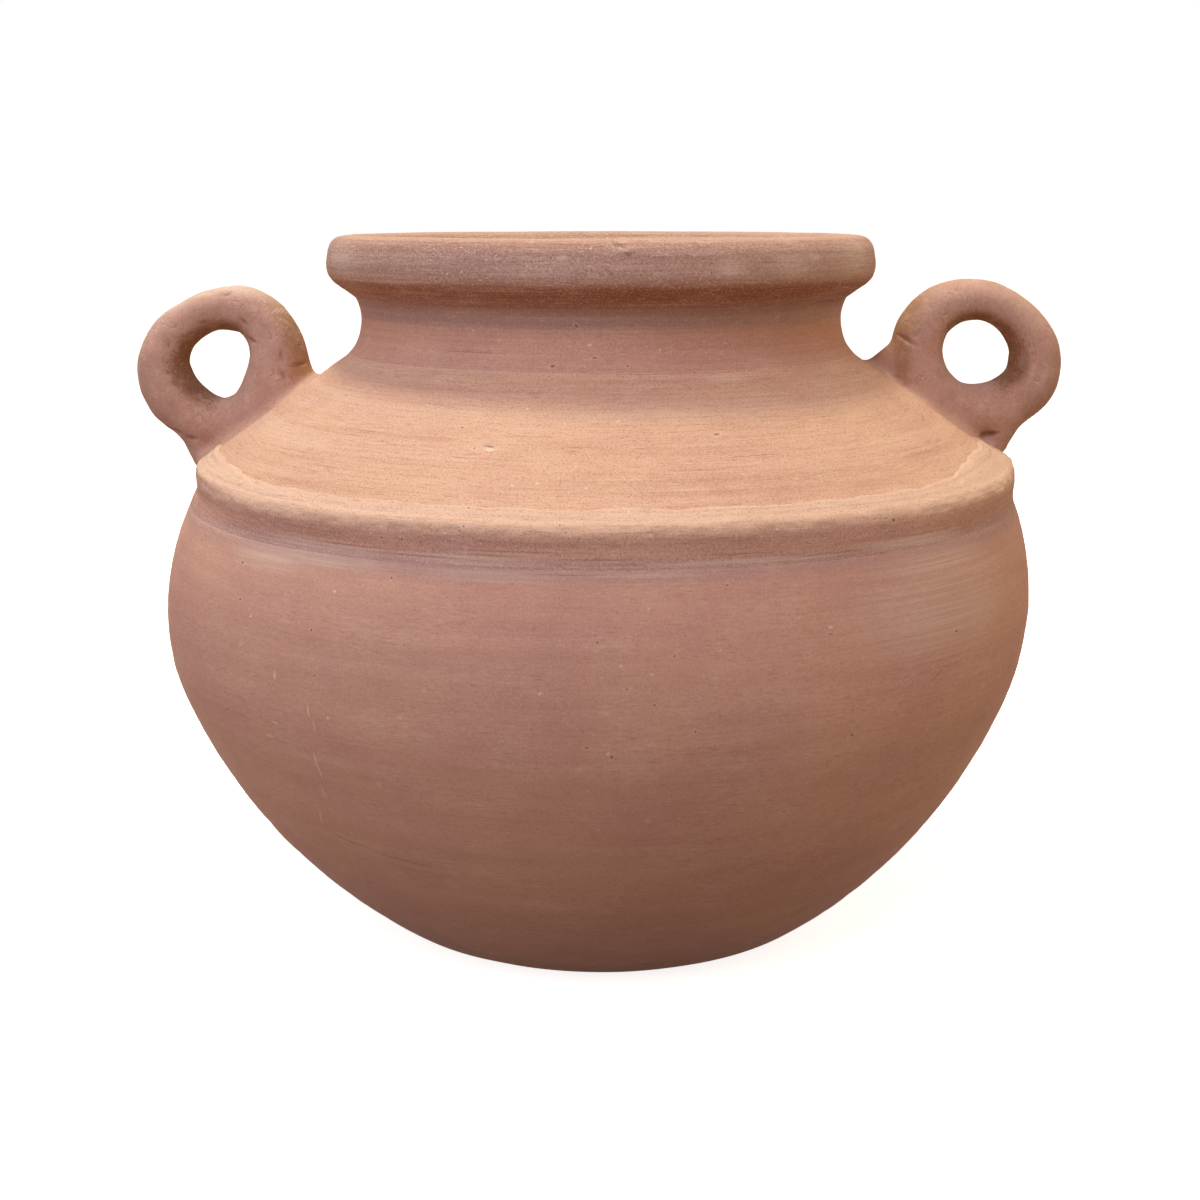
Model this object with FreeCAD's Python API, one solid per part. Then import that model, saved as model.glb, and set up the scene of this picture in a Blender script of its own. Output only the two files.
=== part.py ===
import FreeCAD, Part
import math
import os

# Terracotta urn in millimetres, +Z up, standing on z = 0 with the axis of the pot on Z.
# The pot is built as thrown courses luted on tongue-and-groove seams, with an applied ridge,
# a rolled rim and two ring handles whose roots are held by pressed wads of clay.

# Belly, from the foot up to the seat of the shoulder
belly_radius = 225.0
belly_height = 170.0
belly_turn_radius = 113.0
belly_turn_angle = 20.7
flank_radius = 276.0
upper_belly_radius = 133.0
shoulder_seat_angle = 24.14
wall = 13.0

# Base
base_thickness = 15.0
drain_radius = 12.5
foot_rounding = 4.0

# Shoulder, neck and rim
shoulder_slope = 34.5
shoulder_edge_setback = 8.0
shoulder_edge_lean = 7.2
shoulder_span = 84.7
neck_waist_radius = 25.0
rim_overhang = 17.5
rim_rise = 31.0
rim_underside_rise = 12.0
rim_lean = 3.0
rim_lower_rounding = 8.0
rim_upper_rounding = 8.0
rim_inner_rounding = 8.0

# Ridge
ridge_stand = 1.8
ridge_hollow = 0.85

# Seams between the courses
bowl_seam_height = 42.0
neck_seam_drop = 17.0
rim_seam_rise = 11.0
tongue_height = 3.0
tongue_width = 6.0

# Handles: each loop is a ring of clay in the plane of the axis, set back from the shoulder's edge
left_loop_setback = 8.4
left_loop_rise = 41.1
left_hole_half_width = 16.5
left_hole_half_height = 19.0
left_coil_outer = 25.0
left_coil_inner = 29.0
left_coil_top = 20.0
left_coil_foot = 30.0
right_loop_setback = 10.4
right_loop_rise = 46.4
right_hole_half_width = 18.5
right_hole_half_height = 17.5
right_coil_outer = 24.0
right_coil_inner = 26.0
right_coil_top = 19.5
right_coil_foot = 33.0
loop_sections = 12

# Wads: half-length along X, half-width along Y and height of each pressed dome of clay,
# and how far its middle lies from the middle of the loop
left_inner_wad_offset = 36.5
left_inner_wad_length = 18.0
left_inner_wad_width = 18.0
left_inner_wad_height = 22.0
left_outer_wad_offset = 3.0
left_outer_wad_length = 16.0
left_outer_wad_width = 19.0
left_outer_wad_height = 21.0
right_inner_wad_offset = 39.0
right_inner_wad_length = 21.0
right_inner_wad_width = 18.0
right_inner_wad_height = 27.0
right_outer_wad_offset = 3.0
right_outer_wad_length = 14.0
right_outer_wad_width = 18.0
right_outer_wad_height = 23.0

axis = FreeCAD.Vector(0, 0, 1)
origin = FreeCAD.Vector(0, 0, 0)


def at(radius, height):
    return FreeCAD.Vector(radius, 0, height)


def line(start, end):
    return Part.LineSegment(start, end).toShape()


def polyline(points):
    return [line(a, b) for a, b in zip(points, points[1:])]


def turn(edges):
    # Closes a section drawn in the XZ plane and turns it once round the axis.
    face = Part.Face(Part.Wire(Part.__sortEdges__(edges)))
    return face.revolve(origin, axis, 360)


# Belly skin: three arcs that run into each other, the inner skin being the same arcs less the wall

turn_angle = math.radians(belly_turn_angle)
turn_middle = at(belly_radius - belly_turn_radius, belly_height)
turn_direction = at(math.cos(turn_angle), -math.sin(turn_angle))
flank_middle = turn_middle + turn_direction * (belly_turn_radius - flank_radius)
upper_middle = at(belly_radius - upper_belly_radius, belly_height)


def flank_top(inset):
    return turn_middle + turn_direction * (belly_turn_radius - inset)


def skin_arc(height, inset):
    # Middle and radius of the arc that makes the belly skin at this height.
    if height >= belly_height:
        return upper_middle, upper_belly_radius - inset
    if height >= flank_top(inset).z:
        return turn_middle, belly_turn_radius - inset
    return flank_middle, flank_radius - inset


def skin(height, inset):
    middle, radius = skin_arc(height, inset)
    return at(middle.x + math.sqrt(radius ** 2 - (height - middle.z) ** 2), height)


def skin_edges(low, high, inset):
    # Arcs of the belly skin between two heights, broken where one arc runs into the next.
    breaks = [z for z in (flank_top(inset).z, belly_height) if low < z < high]
    heights = [low] + breaks + [high]
    edges = []
    for a, b in zip(heights, heights[1:]):
        middle_height = (a + b) / 2
        middle, radius = skin_arc(middle_height, inset)
        ends = [at(middle.x + math.sqrt(radius ** 2 - (z - middle.z) ** 2), z) for z in (a, middle_height, b)]
        edges.append(Part.Arc(*ends).toShape())
    return edges


def tongue(outer, inner, rise=tongue_height):
    # Seam across the wall, straight but for a V tongue in its middle. The tongue stands up from the
    # lower course, or hangs down from the upper course where the rise is negative.
    along = (inner - outer).normalize()
    up = FreeCAD.Vector(-along.z, 0, along.x)
    if up.z < 0:
        up = up * -1
    middle = (outer + inner) * 0.5
    half = along * (tongue_width / 2)
    return [outer, middle - half, middle + up * rise, middle + half, inner]


# Shoulder: a sloping slab whose underside rests on the bevelled top of the belly wall

slope = math.radians(shoulder_slope)
uphill = at(-math.cos(slope), math.sin(slope))
outward = at(math.sin(slope), math.cos(slope))
seat_height = belly_height + upper_belly_radius * math.sin(math.radians(shoulder_seat_angle))
seat_outer = skin(seat_height, 0)
edge_low = seat_outer + uphill * shoulder_edge_setback
edge_high = edge_low + outward * wall + uphill * shoulder_edge_lean


def meet_inner_skin():
    # Where the underside of the shoulder runs into the inner skin of the upper belly.
    offset = seat_outer - upper_middle
    radius = upper_belly_radius - wall
    along = offset.dot(uphill)
    return seat_outer + uphill * (-along - math.sqrt(along ** 2 - offset.dot(offset) + radius ** 2))


seat_inner = meet_inner_skin()


def shoulder_height(radius):
    return edge_high.z + (edge_high.x - radius) * math.tan(slope)


# Neck: one hollow arc, touching the shoulder's slope at its foot and narrowest at waist_height

neck_radius = edge_high.x - shoulder_span
waist_x = neck_radius + neck_waist_radius
waist_height = shoulder_height(waist_x) + neck_waist_radius / math.cos(slope)
waist_middle = at(waist_x, waist_height)
flare_outer = waist_middle - outward * neck_waist_radius
flare_inner = waist_middle - outward * (neck_waist_radius + wall)
neck_seam_height = waist_height - neck_seam_drop
rim_seam_height = waist_height + rim_seam_rise
rim_top = rim_seam_height + rim_rise


def neck(height, inset):
    radius = neck_waist_radius + inset
    return at(waist_x - math.sqrt(radius ** 2 - (height - waist_height) ** 2), height)


def neck_arc(start, end, inset):
    middle_height = (start.z + end.z) / 2
    return Part.Arc(start, neck(middle_height, inset), end).toShape()


base_seam = tongue(skin(base_thickness, 0), skin(base_thickness, wall), -tongue_height)
bowl_seam = tongue(skin(bowl_seam_height, 0), skin(bowl_seam_height, wall))
shoulder_seam = tongue(seat_outer, seat_inner)
neck_seam = tongue(neck(neck_seam_height, 0), neck(neck_seam_height, wall))
rim_seam = tongue(neck(rim_seam_height, 0), neck(rim_seam_height, wall))


def base_slab():
    foot = skin(0, 0)
    edges = skin_edges(0, base_thickness, 0)
    edges += polyline(base_seam + [at(drain_radius, base_thickness), at(drain_radius, 0), foot])
    slab = turn(edges)
    on_floor = [edge for edge in slab.Edges if edge.CenterOfMass.z < foot_rounding]
    return slab.makeFillet(foot_rounding, [max(on_floor, key=lambda edge: edge.Length)])


def lower_bowl():
    edges = skin_edges(base_thickness, bowl_seam_height, 0) + polyline(bowl_seam)
    edges += skin_edges(base_thickness, bowl_seam_height, wall) + polyline(base_seam)
    return turn(edges)


def belly_wall():
    edges = skin_edges(bowl_seam_height, seat_outer.z, 0) + polyline(shoulder_seam)
    edges += skin_edges(bowl_seam_height, seat_inner.z, wall) + polyline(bowl_seam)
    return turn(edges)


def shoulder_cone():
    edges = polyline([seat_inner] + shoulder_seam[-2:0:-1] + [seat_outer, edge_low, edge_high, flare_outer])
    edges += [neck_arc(flare_outer, neck_seam[0], 0)] + polyline(neck_seam)
    edges += [neck_arc(neck_seam[-1], flare_inner, wall), line(flare_inner, seat_inner)]
    return turn(edges)


def neck_collar():
    edges = [neck_arc(neck_seam[0], rim_seam[0], 0)] + polyline(rim_seam)
    edges += [neck_arc(rim_seam[-1], neck_seam[-1], wall)] + polyline(neck_seam)
    return turn(edges)


def rounded(corner, before, after, radius):
    # Ends and middle of the arc that rounds a corner between two straight stretches.
    to_before = (before - corner).normalize()
    to_after = (after - corner).normalize()
    half = math.acos(max(-1, min(1, to_before.dot(to_after)))) / 2
    reach = radius / math.tan(half)
    bisector = (to_before + to_after).normalize()
    middle = corner + bisector * (radius / math.sin(half) - radius)
    return corner + to_before * reach, middle, corner + to_after * reach


def shoulder_ridge():
    # A ledge: the slope runs on, rounds over to an upright face and sweeps back into the belly.
    corner = edge_high - uphill * (ridge_stand / math.cos(slope))
    rounding = (corner - edge_high).Length * math.tan(math.pi / 4 + slope / 2)
    crown = rounded(corner, edge_high, at(corner.x, seat_outer.z), rounding)
    face = crown[2]
    to_belly = seat_outer - face
    inward = at(to_belly.z, -to_belly.x).normalize()
    hollow = (face + seat_outer) * 0.5 + inward * ridge_hollow
    edges = [Part.Arc(edge_high, crown[1], face).toShape(), Part.Arc(face, hollow, seat_outer).toShape()]
    edges += polyline([seat_outer, edge_low, edge_high])
    return turn(edges)


def rim_roll():
    crease = rim_seam[0]
    inside = rim_seam[-1]
    widest = neck_radius + rim_overhang
    lower = at(widest, crease.z + rim_underside_rise)
    upper = at(widest - rim_lean, rim_top)
    inner = at(inside.x, rim_top)
    low_round = rounded(lower, crease, upper, rim_lower_rounding)
    high_round = rounded(upper, lower, inner, rim_upper_rounding)
    lip_round = rounded(inner, upper, inside, rim_inner_rounding)
    edges = [line(crease, low_round[0]), Part.Arc(*low_round).toShape()]
    edges += [line(low_round[2], high_round[0]), Part.Arc(*high_round).toShape()]
    edges += [line(high_round[2], lip_round[0]), Part.Arc(*lip_round).toShape()]
    edges += [line(lip_round[2], inside)] + polyline(rim_seam)
    return turn(edges)


def handle_loop(side, setback, rise, hole_half_width, hole_half_height, outer, inner, top, foot):
    # Closed ring of clay round the oval finger hole. The coil is rolled thinner over the top
    # and its thickness runs evenly between the four places where it is given.
    middle_x = edge_high.x - setback
    middle_z = shoulder_height(middle_x) + rise
    sections = []
    for step in range(loop_sections):
        angle = 2 * math.pi * step / loop_sections
        across = math.cos(angle)
        upright = math.sin(angle)
        flank = outer if across > 0 else inner
        cap = top if upright > 0 else foot
        thickness = flank * across ** 2 + cap * upright ** 2
        out = FreeCAD.Vector(across * hole_half_height, 0, upright * hole_half_width).normalize()
        rim = FreeCAD.Vector(middle_x + across * hole_half_width, 0, middle_z + upright * hole_half_height)
        place = rim + out * (thickness / 2)
        circle = Part.Wire(Part.makeCircle(thickness / 2))
        spin = FreeCAD.Rotation(FreeCAD.Vector(0, 1, 0), -math.degrees(math.atan2(out.z, out.x)))
        circle.Placement = FreeCAD.Placement(place, spin)
        sections.append(circle)
    ring = Part.makeLoft(sections, True, False, True)
    if side < 0:
        ring = ring.mirror(origin, FreeCAD.Vector(1, 0, 0))
    return ring, middle_x


def wad(side, middle_x, length, width, height):
    # Dome of clay pressed on to the shoulder.
    stretch = FreeCAD.Matrix()
    stretch.scale(length, width, height)
    dome = Part.makeSphere(1.0).transformGeometry(stretch)
    dome.translate(at(side * middle_x, shoulder_height(middle_x)))
    return dome


def shoulder_body():
    # The pot's solid outline from the widest ring to the neck's seam, to trim what is pressed on to it.
    edges = skin_edges(belly_height, seat_outer.z, 0) + polyline([seat_outer, edge_low, edge_high, flare_outer])
    edges += [neck_arc(flare_outer, neck_seam[0], 0)]
    edges += polyline([neck_seam[0], at(0, neck_seam_height), at(0, belly_height), skin(belly_height, 0)])
    return turn(edges)


def handle(side, loop_sizes, inner_offset, inner_sizes, outer_offset, outer_sizes, trim):
    ring, middle_x = handle_loop(side, *loop_sizes)
    loop = ring.cut(trim)
    inner = wad(side, middle_x - inner_offset, *inner_sizes).cut(trim + [ring])
    outer = wad(side, middle_x + outer_offset, *outer_sizes).cut(trim + [ring])
    return loop, inner, outer


nodes = {
    "base_slab": base_slab(),
    "lower_bowl": lower_bowl(),
    "belly_wall": belly_wall(),
    "shoulder_cone": shoulder_cone(),
    "shoulder_ridge": shoulder_ridge(),
    "neck_collar": neck_collar(),
    "rim_roll": rim_roll(),
}
trim = [shoulder_body(), nodes["shoulder_ridge"], nodes["neck_collar"]]
left = handle(
    -1,
    (left_loop_setback, left_loop_rise, left_hole_half_width, left_hole_half_height, left_coil_outer,
     left_coil_inner, left_coil_top, left_coil_foot),
    left_inner_wad_offset,
    (left_inner_wad_length, left_inner_wad_width, left_inner_wad_height),
    left_outer_wad_offset,
    (left_outer_wad_length, left_outer_wad_width, left_outer_wad_height),
    trim,
)
right = handle(
    1,
    (right_loop_setback, right_loop_rise, right_hole_half_width, right_hole_half_height, right_coil_outer,
     right_coil_inner, right_coil_top, right_coil_foot),
    right_inner_wad_offset,
    (right_inner_wad_length, right_inner_wad_width, right_inner_wad_height),
    right_outer_wad_offset,
    (right_outer_wad_length, right_outer_wad_width, right_outer_wad_height),
    trim,
)
for name, pieces in (("left", left), ("right", right)):
    for piece, shape in zip(("loop", "inner_wad", "outer_wad"), pieces):
        nodes[f"{name}_handle_{piece}"] = shape

os.makedirs("parts", exist_ok=True)
for name, shape in nodes.items():
    shape.exportStep(f"parts/{name}.step")
    box = shape.BoundBox
    print(name, len(shape.Solids), shape.isValid(), round(shape.Volume / 1000, 1),
          [round(v, 1) for v in (box.XMin, box.XMax, box.YMin, box.YMax, box.ZMin, box.ZMax)])
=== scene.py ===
import bpy
import bmesh
import math
import numpy as np
from functools import partial
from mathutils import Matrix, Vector, noise


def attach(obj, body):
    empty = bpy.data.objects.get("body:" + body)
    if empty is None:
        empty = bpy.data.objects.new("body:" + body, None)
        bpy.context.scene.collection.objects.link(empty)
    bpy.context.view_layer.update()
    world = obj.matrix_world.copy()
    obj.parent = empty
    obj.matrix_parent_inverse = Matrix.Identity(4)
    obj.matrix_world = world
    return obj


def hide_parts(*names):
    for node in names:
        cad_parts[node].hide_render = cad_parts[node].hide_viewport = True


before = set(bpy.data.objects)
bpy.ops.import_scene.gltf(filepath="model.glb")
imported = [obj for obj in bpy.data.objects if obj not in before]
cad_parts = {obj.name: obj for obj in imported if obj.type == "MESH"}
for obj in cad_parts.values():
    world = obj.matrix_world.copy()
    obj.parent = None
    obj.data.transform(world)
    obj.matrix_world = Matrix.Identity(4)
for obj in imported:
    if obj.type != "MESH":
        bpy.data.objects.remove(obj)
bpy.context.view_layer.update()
scene = bpy.context.scene
mm = 0.001
print("frame loaded:", len(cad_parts), "clay pieces")


def linear(hexColour):
    parts = [int(hexColour[i:i + 2], 16) / 255 for i in (1, 3, 5)]
    return tuple(c / 12.92 if c <= 0.04045 else ((c + 0.055) / 1.055) ** 2.4 for c in parts) + (1.0,)


def addNode(tree, kind, feeds=None, **settings):
    node = tree.nodes.new(kind)
    for key, value in settings.items():
        setattr(node, key, value)
    for key, value in (feeds or {}).items():
        if isinstance(value, bpy.types.Node):
            value = value.outputs[0]
        if isinstance(value, bpy.types.NodeSocket):
            tree.links.new(value, node.inputs[key])
        else:
            node.inputs[key].default_value = value
    return node


def operate(tree, kind, operation, *values):
    return addNode(tree, kind, dict(enumerate(values)), operation=operation)


def addObject(name, data):
    made = bpy.data.objects.new(name, data)
    scene.collection.objects.link(made)
    return made


# The pot's outline in mm, as radius and height. The heel is given as inset from the foot's edge, the drain hole's edge
# as addition to its radius. Chips are marks (see below) with a depth
pot = dict(
    belly=225, bellyHeight=170, turn=113, turnAngle=20.7, flank=276, upper=133, wall=13, base=15,
    heel=((5.5, 0), (2.2, 0.35), (0.2, 2.2)), heelTop=5, drain=12.5,
    drainEdge=((2, 15), (0.4, 14.4), (0, 12.5), (0, 2.5), (0.4, 0.6), (2, 0)), bowlSeam=42, seat=224.4,
    seatMiddle=(206.8, 228.9), seatInner=(188.8, 241.2), edge=(208.2, 243.7), slope=34.5, neck=123.5, waist=25,
    waistHeight=315.1, neckSeam=298.1, rimSeam=326.1, top=357.1, shoulderChips=((-16.9, 268.9, 5, 2.4, -8, 1.3),),
    rimChips=((3, 354.2, 4.2, 2, -30, 1.8), (4.7, 351.8, 2.8, 2.2, 0, -1.4)))
# How far the pot leans off its axis at some heights
lean = dict(heights=(0, 60, 150, 240, 262, 315, 357), shifts=(0.8, -1, -2, 1.95, 1, 0.5, 0.5), reach=2.5, ease=20)
# Mesh: parts of a full turn, and mm between the points of a section (outside and inside where there are two)
segments = 640
steps = dict(heel=1, drain=1.4, floor=4, under=5, bowl=(2, 4), belly=(2.3, 6.5), ridge=0.8, ridgeBack=4,
             slope=(1.7, 5), flare=1.5, neck=(1.4, 2.5), rim=1.2, seam=5, baseSeam=6, seatSeam=8)


def bellySkin(z, inset=0):  # three arcs that run into each other
    angle, height, radius = math.radians(pot["turnAngle"]), pot["bellyHeight"], pot["turn"]
    middle = pot["belly"] - radius
    if z >= height:
        radius = pot["upper"]
        middle = pot["belly"] - radius
    elif z < height - math.sin(angle) * (radius - inset):
        back = pot["flank"] - radius
        middle, height, radius = middle - math.cos(angle) * back, height + math.sin(angle) * back, pot["flank"]
    return middle + math.sqrt((radius - inset) ** 2 - (z - height) ** 2)


def neckSkin(z, inset=0):
    radius = pot["waist"] + inset
    return pot["neck"] + pot["waist"] - math.sqrt(radius ** 2 - (z - pot["waistHeight"]) ** 2)


def slopeHeight(r):
    return pot["edge"][1] + (pot["edge"][0] - r) * math.tan(math.radians(pot["slope"]))


def flare(inset):  # where the shoulder's slope runs into the neck's hollow
    angle = math.radians(pot["slope"])
    reach = pot["waist"] + inset
    return pot["neck"] + pot["waist"] - math.sin(angle) * reach, pot["waistHeight"] - math.cos(angle) * reach


def evenly(points, step):  # points along a line, a step apart
    points = np.array(points, float)
    along = np.concatenate([[0], np.cumsum(np.linalg.norm(np.diff(points, axis=0), axis=1))])
    spots = np.linspace(0, along[-1], max(2, math.ceil(along[-1] / step) + 1))
    return np.stack([np.interp(spots, along, points[:, i]) for i in range(points.shape[1])], axis=1)


def spline(a, b, c, d, t):  # from b to c on a smooth line through all four
    return 0.5 * (2 * b + (c - a) * t + (2 * a - 5 * b + 4 * c - d) * t ** 2 + (3 * b - a - 3 * c + d) * t ** 3)


def smoothly(points, step):  # a smooth line through the points
    p = np.array(points, float)
    p = np.concatenate([[2 * p[0] - p[1]], p, [2 * p[-1] - p[-2]]])
    t = np.linspace(0, 1, 24, endpoint=False)[:, None]
    line = [spline(*ends, t) for ends in zip(p, p[1:], p[2:], p[3:])]
    return evenly(np.concatenate(line + [p[-2:-1]]), step)


def lengthOf(points):
    return np.linalg.norm(np.diff(points, axis=0), axis=1).sum()


def bellyRun(low, high, inset, step):
    return evenly([(bellySkin(z, inset), z) for z in np.linspace(low, high, 200)], step)


def neckRun(low, high, inset, step):
    return evenly([(neckSkin(z, inset), z) for z in np.linspace(low, high, 60)], step)


leanHeights = np.linspace(0, pot["top"], 52)
leanShifts = np.mean([np.interp(leanHeights + lean["ease"] * part, lean["heights"], lean["shifts"])
                      for part in np.linspace(-1, 1, 13)], axis=0)


def shiftAt(z):
    return np.interp(z, leanHeights, leanShifts)


def softStep(value, start, full):
    t = np.clip((value - start) / (full - start), 0, 1)
    return t * t * (3 - 2 * t)


# The outside of the whole pot from the floor to the top of the rim, radius and height
rimFront = ((128.6, 328), (133.2, 331.2), (135.6, 332.9), (137.7, 334.9), (139.4, 337.5), (140.4, 342),
            (139.8, 347.7), (138.9, 351.1), (137.6, 353.4), (135.7, 355.3), (132.8, 356.5), (128, 357))
rimBack = ((123, 356.6), (118.6, 355), (115.2, 351.9), (113.4, 347), (112.5, 338))
ridgeFront = ((212.7, 225.9), (211.8, 228.3), (210.9, 231.2), (210.2, 234.5), (209.9, 237.5), (210.1, 239.7),
              (209.9, 241.4), (209.1, 243.1))
skinOutline = np.concatenate([bellyRun(0, pot["seat"], 0, 4), ridgeFront, evenly([pot["edge"], flare(0)], 20),
                              neckRun(flare(0)[1], pot["rimSeam"], 0, 4)[1:], rimFront])


def markAxes(angle, height, length, width=None, tilt=0, rise=0.5):
    # The middle of a mark on the outside and its two axes, scaled so that its edge is at 1; half sizes in mm of skin
    width, angle, tilt = width or length, math.radians(angle), math.radians(tilt)
    radius, above = np.interp((height, height + rise), skinOutline[:, 1], skinOutline[:, 0])
    middle = Vector((radius * math.sin(angle) + shiftAt(height), -radius * math.cos(angle), height)) * mm
    around = Vector((math.cos(angle), math.sin(angle), 0))
    lift = Vector((0, 0, math.hypot(1, (above - radius) / rise)))
    along = (around * math.cos(tilt) + lift * math.sin(tilt)) / (length * mm)
    across = (lift * math.cos(tilt) - around * math.sin(tilt)) / (width * mm)
    return middle, along, across


# How marks fade: where they start and are full, as shares of their half sizes, and from none to how much they show
markFade = dict(bloomsAndSheen=(1.2, 0.1, 0, 0.42), lines=(1.1, 0.3, 0, 0.5), specks=(1.1, 0.4, 0, 0.65),
                pitRims=(1.9, 1, 0, 0.2), pitsAndShadows=(1.05, 0.25, 0, 1))
# Where patterns start to show and are full (noise lies round 0.5, grit in mm), and the least show of haze
patternEdges = dict(patch=(0.38, 0.62), dashPlace=(0.4, 0.6), haze=(0.38, 0.66, 0.5), fold=(0.035, 0),
                    foldPlace=(0.54, 0.68), grit=(0.7, 0.2), gritPick=(0.55, 0.6), holePick=(0.1, 0.05))
# Low-fired terracotta, bare and matt. The belly was wiped smooth on the wheel: soft mauve and orange clouds, short
# faint dashes from the rib, a few pits with pale rims, pale specks, scratches and dust, and painted shade in the
# crease
# under the ridge. In mm: patterns as run and width (dashes and grain twice as coarse as real ones, to show), painted
# light and shade as colour, show, height where it starts and is full, marks as degrees from the front, height, half
# length and, where it needs them, half width and tilt
bellyLook = dict(
    name="terracottaWipedOnWheel", girth="girth", sun="#CFA290", rose="#C99B8E", pale="#E4C7B5", deep="#986854",
    grit="#EBD9C8", patch=(70, 50), cloud=(28, 17), cloudShow=0.11, band=(260, 24), bandShow=0.08, dash=(5, 0.9),
    dashShow=0.3, longLine=(90, 1.1), lineShow=0.11, grain=(0.9, 0.9), grainShow=0.3, gritCell=12.5, gritShow=0.6,
    dashDepth=0.05, grainDepth=0.08, roughness=0.9, ior=1.45, sheen=0.25, hole="#6B4031", holeShow=0.7,
    # painted shade: darker mauve-grey at the top of the belly, in the crease under the ridge
    raggedSize=1.6, dashLeast=0.35, paintedLightAndShade=(("#BA958D", 0.85, 216.5, 223.5),), tints=(), foldShow=0,
    pitsAndShadows=((-48.2, 214.3, 1.5, 0.9), (-46.8, 198.8, 1.4, 0.7), (-44.1, 191.7, 1, 0.5), (-33.9, 192.8, 1, 0.8),
          (-32.9, 173.5, 1.3, 0.6), (-49.7, 145.4, 1.6, 0.9), (-24.3, 218.2, 0.9, 0.8), (13.8, 218, 0.8, 0.7),
          (45.6, 185.4, 1.3, 0.8), (26, 194.7, 1.9, 0.5), (7.9, 190.6, 1.1, 0.6, 25), (-0.3, 196.6, 0.9, 0.5, 20),
          (3, 177.4, 1.1, 0.5), (-1, 152, 1.2, 0.6), (10.6, 158.1, 1, 0.8, 30), (6, 170.5, 1.1, 0.4),
          (1.7, 147.6, 1.4, 0.8, 55), (29.7, 148.1, 1.7, 0.7, 10), (50.4, 107.1, 2.2, 0.8), (22.9, 113.3, 1.1, 0.7)),
    lines=((42.2, 167.6, 5.4, 0.5, 30), (-35.1, 87.6, 14.5, 0.7, -10), (-25.8, 82.6, 20, 0.7, -5),
           (-3, 222.9, 30.5, 0.4)),
    specks=((-31.5, 210.1, 1), (-44.2, 192.9, 1.4, 0.7), (-39.2, 169.5, 1, 2.2), (2.3, 187, 0.7), (5.6, 183.3, 0.7),
            (-6.1, 175.2, 0.8, 0.7), (-31.2, 155.2, 0.9, 1.3), (-39.9, 146.9, 2, 0.6, -10), (26, 197.6, 1.6, 0.8),
            (1.3, 149, 1.4, 0.8, 55), (-34.1, 157.1, 0.45, 3.9), (-33.4, 150, 0.4, 3.5, 10), (-34.5, 129.9, 0.5, 9.7),
            (-35.4, 114.9, 0.5, 5.4, -6), (-38.3, 98.5, 0.45, 6.4, -15)),
    bloomsAndSheen=((-45.5, 179.6, 3.8, 0.9, 30), (-41.6, 138.8, 3, 1.3), (-1.7, 141.5, 2.8, 1.9, 20),
            (6, 115, 1.9, 1.2, -15), (-25.9, 125.7, 2, 1.8), (-18.8, 173.8, 1.4), (-21.7, 160.3, 1.3, 1.2),
            (51.3, 183.6, 7.3, 0.9), (-34, 222, 48, 4.5), (-14, 221.5, 44, 3), (4, 222.5, 36, 1), (44, 216.5, 52, 9),
            (-43, 218.5, 34, 7), (43, 196.5, 66, 27)))
# The shoulder was turned leather-hard and sponged: sandy, with short fine lines, hair cracks, a chip and pale flecks
shoulderLook = dict(
    bellyLook, name="terracottaSpongedShoulder", sun="#D6AE94", rose="#CFA48F", paintedLightAndShade=(), cloudShow=0.14,
    band=(260, 9), bandShow=0.22, dashShow=0.4, dash=(9, 0.9), lineShow=0.24, grainShow=0.62, gritCell=11,
    dashDepth=0.09, grainDepth=0.14,
    pitsAndShadows=((-16.8, 269.4, 3.8, 0.8, -12), (-16, 267.3, 1.4, 0.5, 25), (-18.9, 268.5, 1.1, 0.5, -15),
          (-22.4, 275.9, 1.4, 0.6), (17.7, 273.9, 2.2, 1, 15), (49.5, 272.6, 1.1, 0.7), (57.3, 274.4, 1.1, 0.6),
          (30.4, 256.4, 0.8, 0.6), (19, 250.3, 0.9, 0.7), (-54, 283.5, 1.3, 0.7)),
    lines=((-11, 273.6, 15.9, 0.4), (-3.3, 269.9, 8.6, 0.45, 1), (-4.4, 268.3, 5.2, 0.45, 2),
           (5.5, 269.4, 5.2, 0.5, 8), (68, 270.2, 7.8, 0.6, 20), (65.3, 269.8, 5.8, 0.6, -15),
           (-41.2, 271.8, 25.4, 0.4), (22.8, 265.5, 23.6, 0.4, 1), (13.1, 261.2, 17.5, 0.4), (15.6, 297.4, 46.8, 0.4)),
    specks=((-16.5, 268.2, 2.7, 1.1, -5), (-12.6, 283.8, 0.7), (-17.2, 278.5, 0.7), (-5.9, 278.5, 0.7),
            (-1.2, 280.5, 0.6), (2.6, 279.5, 0.7, 0.6), (-11.6, 255.9, 1.3, 0.6), (-8.4, 257, 1.1, 0.6),
            (-3.7, 263.1, 0.6), (-2.2, 255.4, 0.8, 1.1)),
    bloomsAndSheen=((2.2, 258.3, 25.3, 0.6), (-10.4, 253.7, 21.4, 0.6), (9.6, 254.5, 19.2, 0.6, 1), (26, 295, 16, 3)))
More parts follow.
